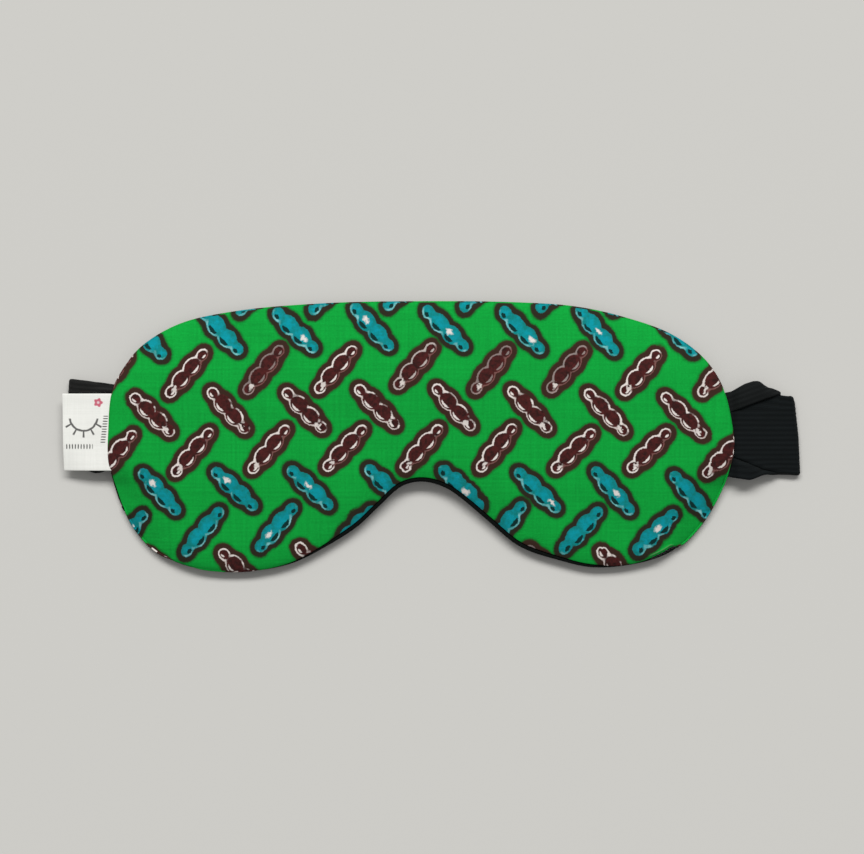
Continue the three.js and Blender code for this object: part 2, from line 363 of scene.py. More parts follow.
class Cloth:
    """A material under construction."""

    def __init__(self, name, roughness, specular):
        self.material = bpy.data.materials.new(name)
        self.material.use_nodes = True
        self.tree = self.material.node_tree
        self.shader = self.tree.nodes["Principled BSDF"]
        self.shader.inputs["Roughness"].default_value = roughness
        self.shader.inputs["Specular IOR Level"].default_value = specular

    def node(self, kind, inputs, **settings):
        node = self.tree.nodes.new("ShaderNode" + kind)
        for key, value in settings.items():
            setattr(node, key, value)
        for key, value in inputs.items():
            feed(self.tree, value, node.inputs[key])
        return node

    def parts(self, socket, kind):
        """The three numbers in a vector or a colour."""
        apart = self.node(kind, {0: socket})
        return [Field(self.tree, apart.outputs[i]) for i in range(3)]

    def flat_places(self):
        """X and Y on the flat cloth in millimetres, and the attribute's third number."""
        places = self.node("Attribute", {}, attribute_name="cloth").outputs["Vector"]
        return self.parts(places, "SeparateXYZ")

    def object_places(self, scale):
        places = self.node("TexCoord", {}).outputs["Object"]
        return self.node("Mapping", {"Vector": places, "Scale": scale}).outputs[0]

    def vector(self, x, y, z):
        return self.node("CombineXYZ", {0: x, 1: y, 2: z}).outputs[0]

    def noise(self, vector, detail=2.0, roughness=0.5):
        """Noise from about -0.5 to 0.5, one feature to each unit of the vector."""
        settings = {"Vector": vector, "Scale": 1, "Detail": detail, "Roughness": roughness}
        return Field(self.tree, self.node("TexNoise", settings).outputs["Fac"]) - 0.5

    def flat_noise(self, x, y, size, seed, **more):
        return self.noise(self.vector(x * size, y * size, seed), **more)

    def chance(self, x, y, seed):
        """Three random numbers from 0 to 1 for each whole-numbered cell."""
        cell = self.vector(x, y, seed)
        node = self.node("TexWhiteNoise", {"Vector": cell}, noise_dimensions="3D")
        return self.parts(node.outputs["Color"], "SeparateColor")

    def mix(self, share, first, second):
        """From the first colour to the second as share goes from 0 to 1."""
        first, second = ((*c, 1) if isinstance(c, tuple) else c for c in (first, second))
        return self.node("Mix", {0: share, 6: first, 7: second}, data_type="RGBA").outputs[2]

    def shade(self, colour, brightness):
        inputs = {0: colour, "Scale": brightness}
        return self.node("VectorMath", inputs, operation="SCALE").outputs[0]

    def finish(self, colour, height, depth, sheen=0.0):
        """Sets the colour, and a bump of the given depth in millimetres."""
        bump = self.node("Bump", {"Strength": 1, "Distance": depth * MM, "Height": height})
        feed(self.tree, colour, self.shader.inputs["Base Color"])
        feed(self.tree, bump.outputs[0], self.shader.inputs["Normal"])
        self.shader.inputs["Sheen Weight"].default_value = sheen
        self.shader.inputs["Sheen Roughness"].default_value = 0.5
        return self.material


GREEN = (0.004, 0.335, 0.042)
DARK_GREEN = (0.004, 0.12, 0.02)
WORN_GREEN = (0.11, 0.35, 0.12)
OUTLINE_BROWN = (0.043, 0.0205, 0.014)
OUTLINE_OLIVE = (0.025, 0.021, 0.013)
WINE = (0.078, 0.0155, 0.015)
DARK_WINE = (0.03, 0.011, 0.01)
TURQUOISE = (0.003, 0.29, 0.35)
DEEP_TURQUOISE = (0.005, 0.2, 0.19)
PALE_TURQUOISE = (0.24, 0.56, 0.56)
SPOT_GREEN = (0.0035, 0.03, 0.028)
PRINT_WHITE = (0.76, 0.7, 0.66)
PRINT_PINK = (0.36, 0.19, 0.17)


def motifs(cloth, x, y, slant, row_offset, seed):
    """The nearest motif of one slant: its coordinates, row and chance numbers."""
    pair_spacing = 2 * ROW_SPACING
    pair_shift = 2 * ROW_SHIFT - MOTIF_SPACING
    top_x, top_y = TOP_ROW[0] + row_offset * ROW_SHIFT, TOP_ROW[1] - row_offset * ROW_SPACING
    row = ((y - top_y) / -pair_spacing).math("ROUND")
    from_y = y - top_y + row * pair_spacing
    column_x = x - top_x - row * pair_shift
    column = (column_x / MOTIF_SPACING).math("ROUND")
    from_x = column_x - column * MOTIF_SPACING
    chance = cloth.chance(column, row, seed)
    from_x = from_x + (chance[0] - 0.5) * 1.5
    from_y = from_y + (chance[1] - 0.5) * 1.3
    angle = (chance[2] - 0.5) * math.radians(7) + math.radians(slant)
    cosine, sine = angle.cosine(), angle.sine()
    along = (from_x * cosine + from_y * sine) * (1 / MOTIF_SIZE)
    across = (from_y * cosine - from_x * sine) * (1 / MOTIF_SIZE)
    return along, across, row, chance


def lobes(along, across):
    """Distance outside a chain of four joined lobes, a little longer than they are wide."""
    near = distance((along - LOBE_INNER) * LOBE_STRETCH, across) - MIDDLE_LOBE
    far = distance((along + LOBE_INNER) * LOBE_STRETCH, across) - MIDDLE_LOBE
    end = distance((along.absolute() - LOBE_OUTER) * END_STRETCH, across) - END_LOBE
    return near.math("SMOOTH_MIN", far, 0.5).math("SMOOTH_MIN", end, 1.5)


def crescents(along, across, width, reach):
    """1 on a tapering crescent at the lower side of each lobe."""
    away = along.absolute()
    at_end = away.beyond((LOBE_INNER + LOBE_OUTER) / 2, 0.01)
    centre = at_end * (LOBE_OUTER - LOBE_INNER) + LOBE_INNER
    radius = at_end * (0.8 - reach) + reach
    out = distance((away - centre) * 0.72, across)
    facing = -across / out.most(0.01)
    taper = (facing - 0.68) * (width / 0.32)
    return ((out - radius).absolute() - taper).within(0, 0.2)


def turquoise_fill(cloth, along, across, inner, chance, mottle, patchy):
    """Mottled, with a pale lower contour, dark spots and now and then a white blot."""
    deep = (mottle * 2.4 + 0.2 + inner.beyond(-1.1, 1.6) * 0.6).clamped()
    colour = cloth.mix(deep, TURQUOISE, DEEP_TURQUOISE)
    contour = (inner + 0.3).absolute().within(0.26, 0.2) * (-across).beyond(0.2, 1.2)
    colour = cloth.mix(contour * (patchy * 3.6 + 0.3).clamped(), colour, PALE_TURQUOISE)
    colour = cloth.mix(crescents(along, across, 0.72, 1.85), colour, SPOT_GREEN)
    from_blot = along - (chance[1] - 0.5) * 13
    blot = distance(from_blot * 0.5, across - 0.3 - mottle * 3).within(0.72, 0.45)
    return cloth.mix(blot * chance[0].beyond(0.35, 0.01) * 0.95, colour, PRINT_WHITE)


def wine_fill(cloth, along, across, inner, chance, mottle, patchy, slant):
    """A white scalloped contour above, white crescents below, and a scrawl at the lower end."""
    lower = (-across).beyond(0.2, 1.2)
    upper = across.beyond(-0.4, 1.2)
    colour = cloth.mix((mottle * 3.2 + 0.45).clamped(), WINE, DARK_WINE)
    thin_band = (inner + 0.32).absolute().within(0.17, 0.2)
    colour = cloth.mix(thin_band * lower * 0.4, colour, PRINT_PINK)
    if slant > 0:
        bright = upper.most((-along).beyond(7.2, 1.0))
    else:
        bright = (-along).beyond(6.6, 1.0).most(upper * (patchy * 6 + 0.5).clamped())
        colour = cloth.mix(thin_band * lower * 0.75, colour, PRINT_WHITE)
    strong = chance[0].beyond(0.16, 0.1) * 0.75 + 0.25
    wide_band = ((inner + 0.3).absolute() - patchy * 0.25).within(0.25, 0.2)
    colour = cloth.mix(wide_band * bright * strong, colour, PRINT_WHITE)
    colour = cloth.mix(crescents(along, across, 0.36, 1.8) * strong, colour, PRINT_WHITE)
    from_end = along + math.copysign(LOBE_OUTER - 1.2, slant)
    scrawl = distance(from_end * 0.75 + mottle * 2.2, across + 0.3 + mottle * 3).within(0.75, 0.3)
    return cloth.mix(scrawl * 0.85, colour, PRINT_WHITE)


def print_motifs(cloth, x, y, ground, slant, row_offset, seed):
    """Paints one slant's motifs over a colour."""
    along, across, row, chance = motifs(cloth, x, y, slant, row_offset, seed)
    inner = lobes(along, across)
    outer = inner - OUTLINE_WIDTH
    # Rows go turquoise, turquoise, wine, wine, wine
    cycle = (row * 2 + (row_offset + 50)).math("MODULO", 5)
    blue = cycle.within(1.5, 0.01)
    mottle = cloth.flat_noise(x, y, 0.9, 1.5, detail=3)
    patchy = cloth.flat_noise(x, y, 0.35, 6.5)
    colour = cloth.mix(outer.within(0.35, 0.9) * 0.8, ground, DARK_GREEN)
    colour = cloth.mix(outer.within(0, 0.5), colour, cloth.mix(blue, OUTLINE_BROWN, OUTLINE_OLIVE))
    motif = (along, across, inner, chance, mottle, patchy)
    fill = cloth.mix(blue, wine_fill(cloth, *motif, slant), turquoise_fill(cloth, *motif))
    return cloth.mix(inner.within(0), colour, fill)


def woven(name, pitch, roughness, specular, fineness=1):
    """A woven material to finish, its flat places, its slubs (uneven threads) and its weave's height."""
    cloth = Cloth(name, roughness, specular)
    x, y, third = cloth.flat_places()
    thin, thick = 0.05 * fineness, 1.3 * fineness
    level = cloth.noise(cloth.vector(x * thin, y * thick, 3.0))
    upright = cloth.noise(cloth.vector(x * thick, y * thin, 8.0))
    turn = math.pi / pitch
    weave = ((x * turn).sine() * (y * turn).sine()).absolute().math("SQRT")
    return cloth, x, y, third, level + upright, weave


def printed_cotton():
    cloth, x, y, worn, slubs, weave = woven("printed_cotton", 0.42, roughness=0.92, specular=0.08)
    # The print wanders a little, as ink does on thread
    print_x = x + cloth.flat_noise(x, y, 1.6, 2.0, detail=3) * 0.55
    print_y = y + cloth.flat_noise(x, y, 1.6, 12.0, detail=3) * 0.55 + x * x * PRINT_ARCH
    broad = cloth.flat_noise(x, y, 0.07, 4.0)
    speckle = cloth.flat_noise(x, y, 1.5, 9.0, detail=3, roughness=0.7)
    colour = cloth.shade(GREEN, slubs * 0.2 + broad * 0.16 + speckle * 0.35 + 1.0)
    colour = print_motifs(cloth, print_x, print_y, colour, slant=49, row_offset=0, seed=1.0)
    colour = print_motifs(cloth, print_x, print_y, colour, slant=-46, row_offset=1, seed=2.0)
    colour = cloth.mix(worn.beyond(0.55, 0.5) * 0.8, colour, WORN_GREEN)
    colour = cloth.shade(colour, weave * 0.14 + slubs * 0.1 + speckle * 0.12 + 0.93)
    return cloth.finish(colour, weave + slubs * 0.6, 0.035, sheen=0.01)


def lining_cotton():
    cloth, x, y, _, slubs, weave = woven("lining_cotton", 0.45, roughness=0.9, specular=0.08)
    lint = cloth.noise(cloth.vector(x * 2.1, y * 0.7, 5.0), detail=4)
    dusty = cloth.mix(lint.beyond(0.16, 0.1) * 0.35, (0.0038, 0.0052, 0.0046), (0.02, 0.022, 0.021))
    colour = cloth.shade(dusty, weave * 0.7 + slubs * 0.6 + 0.6)
    return cloth.finish(colour, weave + slubs * 0.5, 0.045, sheen=0.015)


def elastic():
    """Black ribbed knit, with painted light: lighter grey where the cloth attribute says so."""
    cloth = Cloth("ribbed_elastic", roughness=0.8, specular=0.12)
    along, across, painted_light_share = cloth.flat_places()
    rib_relief_and_shade = (across * (2 * math.pi / RIB_PITCH)).cosine() * -0.5 + 0.5
    knit = ((along * (math.pi / 0.36)).sine() * (across * (math.pi / 0.4)).sine()).absolute()
    stretch = cloth.noise(cloth.vector(along * 0.12, across * 0.8, 2.0), detail=3)
    fluff = cloth.flat_noise(along, across, 2.4, 7.0, detail=3)
    # Painted shade: the colour is darker in the grooves between the ribs. The same field also gives the
    # ribs' bump.
    black = cloth.mix(rib_relief_and_shade, (0.0022, 0.0038, 0.0043), (0.0038, 0.006, 0.0066))
    # Painted light: this lighter grey stands for light falling more brightly on parts of the black
    # elastic.
    painted_light_grey = cloth.mix(rib_relief_and_shade, (0.0088, 0.009, 0.0086), (0.0155, 0.0157, 0.015))
    colour = cloth.shade(cloth.mix(painted_light_share, black, painted_light_grey), knit * 0.5 + stretch * 0.7 + fluff * 0.7 + 0.75)
    return cloth.finish(colour, knit * 0.6 + rib_relief_and_shade * 0.7 + fluff * 0.3, 0.09, sheen=0.03)


def thread():
    cloth = Cloth("sewing_thread", roughness=0.6, specular=0.3)
    inputs = {"Vector": cloth.object_places([900] * 3), "Scale": 1}
    twist = cloth.node("TexWave", inputs, wave_type="BANDS", bands_direction="DIAGONAL")
    strand = Field(cloth.tree, twist.outputs["Fac"])
    colour = cloth.mix(strand, (0.006, 0.007, 0.0075), (0.02, 0.022, 0.023))
    return cloth.finish(colour, strand, 0.05, sheen=0.1)


def wadding():
    cloth = Cloth("polyester_wadding", roughness=0.95, specular=0.15)
    fibres = cloth.noise(cloth.object_places([1000] * 3), detail=6, roughness=0.7)
    strands = cloth.noise(cloth.object_places((2600, 500, 2600)), detail=4)
    colour = cloth.mix((fibres * 1.6 + 0.5).clamped(), (0.62, 0.6, 0.56), (0.86, 0.85, 0.82))
    return cloth.finish(colour, fibres + strands, 0.5, sheen=0.3)


LABEL_WHITE = (0.87, 0.875, 0.83)
INK = (0.022, 0.02, 0.021)
PINK = (0.58, 0.06, 0.13)
PALE_PINK = (0.8, 0.62, 0.65)


def tick_row(along, across, middle, wobble, pitch, bare_share):
    """A short row of tick marks, about the place where along is at its middle and across is 0."""
    ticks = (along * (2 * math.pi / pitch) + wobble * 3).cosine().beyond(bare_share, 0.5)
    return ticks * across.absolute().within(0.75, 0.4) * (along - middle).absolute().within(4.6, 0.3)


def label_tape():
    """White tape with a plain sleepy-eye sign, a pink dot and rows of tick marks."""
    cloth, x, y, upper, slubs, weave = woven(
        "label_tape", 0.36, roughness=0.85, specular=0.15, fineness=1.4)
    wobble = cloth.flat_noise(x, y, 0.8, 3.0) * 0.5
    white = cloth.shade(LABEL_WHITE, slubs * 0.1 + weave * 0.06 + 0.96)
    lid_x, lid_y = x + 109.4, y - 6.6
    reach = distance(lid_x, lid_y)
    lid = (reach - 4.6 + wobble).absolute().within(0.33, 0.25) * lid_y.within(-0.6, 0.3)
    spoke = (lid_y.math("ARCTAN2", lid_x) * 12).cosine().beyond(0.82, 0.2)
    lashes = spoke * reach.beyond(4.6, 0.3) * reach.within(6.8, 0.4) * lid_y.within(-1.6, 0.4)
    row = tick_row(x, y + 3.1, -111.0, wobble, 0.95, 0.25)
    column = tick_row(y, x + 102.9 - y * 0.11, 2.3, wobble, 0.85, 0.2)
    ink = lid.most(lashes).most(row).most(column) * 0.88 * upper
    colour = cloth.mix(ink, white, INK)
    bloom_x, bloom_y = x + 104.6, y - 11.2
    bloom = distance(bloom_x, bloom_y)
    petals = (bloom - (bloom_y.math("ARCTAN2", bloom_x) * 5).cosine() * 0.22).within(1.3, 0.3)
    colour = cloth.mix(petals * upper * 0.9, colour, PINK)
    colour = cloth.mix(bloom.within(0.42, 0.3) * upper, colour, PALE_PINK)
    return cloth.finish(colour, weave + slubs * 0.5, 0.04, sheen=0.05)


MATERIALS = {
    "printed_cotton": printed_cotton(),
    "lining_cotton": lining_cotton(),
    "elastic": elastic(),
    "dark_thread": thread(),
    "wadding": wadding(),
    "label_tape": label_tape(),
}


# ------------ pad

rim, inwards = closed_curve(PAD_OUTLINE, RIM_POINTS)
rim_x, rim_y = rim.T
on_lower_edge = rim_y < LOWER_EDGE_BELOW


def edge_rings():
    """Rings of points from the front, over the rim, to the back. The middle one is the seam."""
    xs, angles = np.array(LOWER_SEAM_ANGLES, float).T
    lower = ramp(rim_y, LOWER_EDGE_BELOW + 3, LOWER_EDGE_BELOW)
    seam = np.radians(TUCKED_ANGLE + lower * (np.interp(rim_x, xs, angles) - TUCKED_ANGLE))
    rings = []
    for t in np.arange(RING_COUNT) / ROLL_RINGS:
        angle = ROLL_END + (seam - ROLL_END) * t if t <= 1 else seam + (-ROLL_END - seam) * (t - 1)
        rise = np.where(angle > 0, COVER_RISE, LINING_RISE)
        plan = rim + inwards * (EDGE_ROLL * (1 - np.cos(angle)))[:, None]
        rings.append(np.column_stack([plan, SEAM_HEIGHT + rise * np.sin(angle)]))
    return np.array(rings)


def pad_heights(plan, rise, side):
    """Heights of the pad's front or back at places in plan."""
    gap = gap_to(plan, rim)
    roll = np.clip((EDGE_ROLL - gap) / EDGE_ROLL, 0, 1)
    height = rise * np.sqrt(1 - roll**2)
    if side > 0:
        height += CROWN * ramp(gap, EDGE_ROLL, 38)
        wave = np.array([uneven(x, y, 17, 3.1) + 0.5 * uneven(x, y, 8, 9.4) for x, y in plan])
        height += PUCKER * wave * ramp(gap, 2, 12)
    return SEAM_HEIGHT + side * height


def counted(fill, ring_first, grid_first):
    """A grid's faces, with its ring's and its own points counted from the given numbers."""
    return [[ring_first + v if v < RIM_POINTS else grid_first + v - RIM_POINTS for v in f] for f in fill]


def swell(points, faces):
    """The points of the closed pad, blown up by Blender's Cloth while its seam is held."""
    pad = new_object("swelling_pad", points, faces)
    mesh = pad.data
    held = pad.vertex_groups.new(name="held")
    first, last = (ROLL_RINGS - 3) * RIM_POINTS, (ROLL_RINGS + 4) * RIM_POINTS
    held.add(list(range(first, last)), 1, "REPLACE")
    cloth = pad.modifiers.new("swelling", "CLOTH")
    for key, value in SWELLING.items():
        setattr(cloth.settings, key, value)
    cloth.settings.effector_weights.gravity = 0
    last_frame = 20
    cloth.point_cache.frame_end = last_frame
    for step in range(1, last_frame + 1):
        scene.frame_set(step)
    swollen = pad.evaluated_get(bpy.context.evaluated_depsgraph_get()).to_mesh()
    move = np.array([v.co for v in swollen.vertices]) / MM - points
    scene.frame_set(1)
    bpy.data.objects.remove(pad)
    bpy.data.meshes.remove(mesh)
    return points + move * SWELL_CAP / (lengths(move)[:, None] + SWELL_CAP)


def low_corners(points):
    """1 along the rim's lower left and right corners, where the pad lies flat, fading inwards."""
    corner = ramp(np.abs(points[:, 0]), 76, 90) * ramp(-points[:, 1], 9, 17)
    return corner * (1 - ramp(gap_to(points, rim), -4, 13))


def shape_pad():
    """The closed pad as it lies: rings, the front's and the back's inner grids, and a grid's faces."""
    rings = edge_rings()
    grid, fill = fill_outline(rings[0, :, :2])
    front = np.column_stack([grid, pad_heights(grid, COVER_RISE, 1)])
    back = np.column_stack([grid, pad_heights(grid, LINING_RISE, -1)])
    points = np.vstack([rings.reshape(-1, 3), front, back])
    front_first = RING_COUNT * RIM_POINTS
    back_first = front_first + len(grid)
    front_fill = counted(fill, 0, front_first)
    back_fill = turned(counted(fill, front_first - RIM_POINTS, back_first))
    points = swell(points, ring_quads(RING_COUNT) + front_fill + back_fill)
    points[:, 2] = np.maximum(points[:, 2], STRAP_THICKNESS + 0.2)
    beyond_strap = np.abs(points[:, 1] - rear_middle(0)) - STRAP_WIDTH / 2
    points[:, 2] -= SAG * ramp(beyond_strap, 1, 22)
    points[:, 2] *= 1 - CORNER_PRESS * low_corners(points)
    rings = points[:front_first].reshape(-1, RIM_POINTS, 3)
    return rings, points[front_first:back_first], points[back_first:], fill


def opening(span, side):
    """1 where something leaves the rim in a range of Y, fading to 0 beyond it."""
    across = hump(rim_y, span[0] - 2.5, span[0], span[1], span[1] + 2.5)
    return across * ramp(side * rim_x, 85, 92)


def edge_lift(side):
    """How far the sheet's edge is lifted over what leaves the seam, at each point of the rim."""
    strap = np.maximum(opening(LEFT_STRAP_Y, -1), opening(RIGHT_STRAP_Y, 1))
    if side < 0:
        return LINING_LIFT * strap
    double = np.maximum(opening(LABEL_Y, -1), opening(FLAP_Y, 1))
    return COVER_LIFT_STRAP * strap + COVER_LIFT_DOUBLE * double


def seam_edges(rings):
    """The seam's section and outward directions at each rim point."""
    seam = rings[ROLL_RINGS]
    along = np.roll(seam, -1, axis=0) - np.roll(seam, 1, axis=0)
    section = unit(rings[ROLL_RINGS - 1] - rings[ROLL_RINGS + 1])
    return section, unit(np.cross(section, along))


def ridge_of_gap():
    """1 along the folded edge of the closed gap, and 0 elsewhere."""
    low, high = CLOSED_GAP
    return hump(rim_x, low - 1, low + 2, high - 0.6, high + 0.6) * on_lower_edge


def sheet_of_pad(rings, grid, fill, side):
    """One cloth of the pad, with a lip that turns in at the seam: points, faces and its flat pattern."""
    section, outward = seam_edges(rings)
    out_to_seam = rings[:ROLL_RINGS + 1] if side > 0 else rings[:ROLL_RINGS - 1:-1]
    loops = list(out_to_seam.copy())
    lift = edge_lift(side)
    edge = loops[-1] + (side * section - outward) * SEAM_GROOVE
    edge[:, 2] += lift
    loops[-1] = edge.copy()
    for back, share in enumerate(EDGE_LIFT_SHARES, start=2):
        loops[-back][:, 2] += share * lift
    if side > 0:
        loops[RIDGE_RING][:, 2] += 0.4 * ridge_of_gap()
        loops[RIDGE_RING + 1][:, 2] -= 0.2 * ridge_of_gap()
    edge[:, 2] -= LIP_DROP_SHARE * lift
    loops.append(edge + side * section * 0.1 - outward * LIP_DEPTH / 2)
    loops.append(edge + side * section * 0.16 - outward * LIP_DEPTH)
    faces = counted(fill, 0, len(loops) * RIM_POINTS) + ring_quads(len(loops))
    loops = np.array(loops)
    flat = loops[0, :, :2] - inwards * (PRINT_WRAP * travelled(loops)[:, :, None])
    flat = np.vstack([flat.reshape(-1, 2), grid[:, :2]])
    worn = np.zeros(len(flat))
    if side > 0:
        worn[RIDGE_RING * RIM_POINTS:(RIDGE_RING + 1) * RIM_POINTS] = ridge_of_gap()
    points = np.vstack([loops.reshape(-1, 3), grid])
    return points, faces if side > 0 else turned(faces), np.column_stack([flat, worn])


def make_pad():
    rings, front, back, fill = shape_pad()
    cover = new_piece("front_cover_cloth", "printed_cotton", *sheet_of_pad(rings, front, fill, 1))
    lining = new_piece("back_lining_cloth", "lining_cotton", *sheet_of_pad(rings, back, fill, -1))
    for piece, node in ((cover, "front_cover"), (lining, "back_lining")):
        refine(piece, CLOTH_THICKNESS)
        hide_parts(node)
        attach(piece, "pad")
    make_wadding(front, back)
    make_closing_stitches(rings)
    make_seam_thread(rings)


def heights_at(plan, points):
    """The points' heights, read at places in plan from the four nearest."""
    heights = []
    for place in plan:
        gap = lengths(points[:, :2] - place)
        near = np.argpartition(gap, 4)[:4]
        heights.append(np.average(points[near, 2], weights=1 / (gap[near] + 0.3)))
    return np.array(heights)


def make_wadding(front, back):
    """The soft layer, a little smaller than the room between the two sheets."""
    inset, clear, least = 6.7, CLOTH_THICKNESS + 0.25, 0.8
    edge = rim + inwards * inset
    grid, fill = fill_outline(edge)
    plan = np.vstack([edge, grid])
    high, low = heights_at(plan, front), heights_at(plan, back)
    gap = np.concatenate([np.zeros(len(edge)), gap_to(grid, edge)])
    roundness = np.sqrt(1 - (1 - np.clip(gap / 4, 0, 1)) ** 2)
    tufts = np.array([0.25 * abs(uneven(x, y, 4, 5.5)) for x, y in plan])
    half = np.maximum((high - low) / 2 - clear - tufts, least) * (0.35 + 0.65 * roundness)
    middle = (high + low) / 2
    points = np.vstack([np.column_stack([plan, middle + half]), np.column_stack([plan, middle - half])])
    faces = closed_body(fill, list(range(len(edge))), len(plan))
    piece = new_piece("wadding_layer", "wadding", points, faces)
    refine(piece)
    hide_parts("wadding")
    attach(piece, "pad")


def tube(centres, radius, sides):
    """A round thread along a line, closed at both ends: points and faces."""
    centres = np.array(centres, float)
    along = unit(np.gradient(centres, axis=0))
    side = unit(np.cross(along, [0.31, 0.22, 0.92]))
    up = np.cross(side, along)
    turns = np.arange(sides)[:, None] / sides * 2 * math.pi
    ring = np.cos(turns) * side[:, None] + np.sin(turns) * up[:, None]
    points = (centres[:, None] + radius * ring).reshape(-1, 3)
    faces = ring_quads(len(centres), sides)
    last = (len(centres) - 1) * sides
    faces.append(list(range(sides))[::-1])
    faces.append([last + k for k in range(sides)])
    return points, faces


def make_closing_stitches(rings):
    """Whip stitches over the seam, which hold the turning gap shut."""
    crossings, reach = 14, 0.45
    section, outward = seam_edges(rings)
    low, high = CLOSED_GAP
    members = np.where((rim_x > low) & (rim_x < high + 1.6) & on_lower_edge)[0]
    at = np.linspace(members[0], members[-1], crossings + 1)
    whole = at.astype(int)
    part = (at - whole)[:, None]
    spot, cut, out = (
        a[whole] * (1 - part) + a[whole + 1] * part for a in (rings[ROLL_RINGS], section, outward))
    swing = np.where(np.arange(crossings + 1) % 2, reach, -reach)[:, None]
    line = np.stack([spot + cut * swing - out * 0.1, spot + out * 0.12], axis=1).reshape(-1, 3)
    smooth = [a + (b - a) * t for a, b in zip(line, line[1:]) for t in (0, 0.34, 0.67)]
    piece = new_piece("closing_stitch_thread", "dark_thread", *tube(smooth, 0.13, sides=8))
    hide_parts("closing_stitches")
    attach(piece, "pad")


def make_seam_thread(rings):
    """The seam's running stitch, from one side of the turning gap round to the other."""
    low, high = CLOSED_GAP
    in_gap = (rim_x > low) & (rim_x < high) & on_lower_edge
    first = np.where(in_gap)[0][-1] + 1
    order = (first + np.arange(RIM_POINTS - np.count_nonzero(in_gap))) % RIM_POINTS
    # The stitch climbs over the strap's ends and the label
    climb = np.maximum(opening((LABEL_Y[0], LEFT_STRAP_Y[1]), -1), opening(RIGHT_STRAP_Y, 1))[order]
    line = rings[ROLL_RINGS][order]
    line[:, :2] += inwards[order] * (1.9 + 1.5 * climb)[:, None]
    line[:, 2] += 1.2 * climb + np.where(order % 2, 0.12, -0.12)
    piece = new_piece("seam_stitching", "dark_thread", *tube(line, 0.16, sides=6))
    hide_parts("seam_thread")
    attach(piece, "pad")


# ------------ strap

def band(middle, thickness, flat):
    """A closed band of cloth round a grid of middle points: points, faces and its flat pattern."""
    normal = unit(np.cross(np.gradient(middle, axis=0), np.gradient(middle, axis=1)))
    half = normal * thickness[:, :, None] / 2
    count = np.arange(thickness.size).reshape(thickness.shape)
    quads = stacked(count[:-1, :-1], count[1:, :-1], count[1:, 1:], count[:-1, 1:])
    border = [*count[0], *count[1:, -1], *count[-1, -2::-1], *count[-2:0:-1, 0]]
    faces = closed_body(quads.reshape(-1, 4).tolist(), border, count.size)
    points = np.vstack([(middle + half).reshape(-1, 3), (middle - half).reshape(-1, 3)])
    return points, faces, np.vstack([flat.reshape(-1, 3)] * 2)


def ribs(thickness, across, from_edge, depth):
    """A band's thickness over its width: ribs along its length, and a thin selvedge at its edges."""
    selvedge = 0.45 + 0.55 * ramp(from_edge, -0.25, 0.45)
    return thickness * selvedge - depth * (0.5 + 0.5 * np.cos(2 * math.pi * across / RIB_PITCH))


def strap_thickness(full):
    """Squeezed in the seam where full is 0, and the elastic's own thickness where it is 1."""
    thickness = STRAP_SEWN_THICKNESS + (STRAP_THICKNESS - STRAP_SEWN_THICKNESS) * full
    depth = RIB_DEPTH * thickness / STRAP_THICKNESS
    return ribs(thickness, ACROSS, np.minimum(ACROSS, STRAP_WIDTH - ACROSS), depth)


def rear_middle(x):
    """Y of the middle of the rear run: a straight line with a slight bend near the left fold."""
    slope = (RIGHT_FOLD[1] - LEFT_FOLD[1]) / (RIGHT_FOLD[0] - LEFT_FOLD[0])
    bend = 0.6 * (1 - ramp(x, -115, -103)) - 0.9 * hump(x, -110, -98, -80, 0)
    return LEFT_FOLD[1] + slope * (x - LEFT_FOLD[0]) + bend


def rear_y(x):
    """Y places over the rear run's width."""
    return rear_middle(x) - STRAP_WIDTH / 2 + ACROSS


def flat_pattern(middle, painted_light_share=0):
    """Millimetres along and across the band, and how much painted light lightens it."""
    return stacked(travelled(middle).mean(axis=1)[:, None], ACROSS, painted_light_share)


def upper_layer(side):
    """Middle points of one strap end's upper layer, from the seam out to its fold."""
    height = right_height if side > 0 else left_height
    bend = line_through(ACROSS_SHARE, FOLD_X[side]) - side * FOLD_REACH
    straight_low, straight_high = low_edge(bend, side), high_edge(bend, side)
    rows = []
    for t in np.linspace(0, 1, 40):
        x = SEWN_X[side] + (bend - SEWN_X[side]) * t
        y = straight_low + (straight_high - straight_low) * ACROSS_SHARE
        y = y + (low_edge(x, side) - straight_low) * (1 - ramp(ACROSS_SHARE, 0, 0.25))
        y = y + (high_edge(x, side) - straight_high) * ramp(ACROSS_SHARE, 0.78, 1)
        rows.append(stacked(x, y, height(x, y)))
    return np.array(rows)


def folded_under(side, upper):
    """Middle points from an upper layer's last row round the fold and back under it."""
    bend, y_top, top = upper[-1].T
    y_under = rear_y(bend)
    centre, radius = (top + REAR_LOWER) / 2, (top - REAR_LOWER) / 2
    rows = []
    for t in np.linspace(0, 1, 13):
        x = bend + side * FOLD_RADIUS * math.sin(math.pi * t)
        y = y_top + (y_under - y_top) * ramp(t, 0, 1)
        rows.append(stacked(x, y, centre + radius * math.cos(math.pi * t)))
    for t in np.linspace(0, 1, 8)[1:]:
        x = bend + (side * JOIN_X - bend) * t
        rows.append(stacked(x, rear_y(x), REAR_LOWER))
    return np.array(rows)


def strap_piece(name, points, faces, pattern):
    piece = new_piece(name, "elastic", points, faces, pattern)
    piece.data.set_sharp_from_angle(angle=CRISP_ANGLE)
    return piece


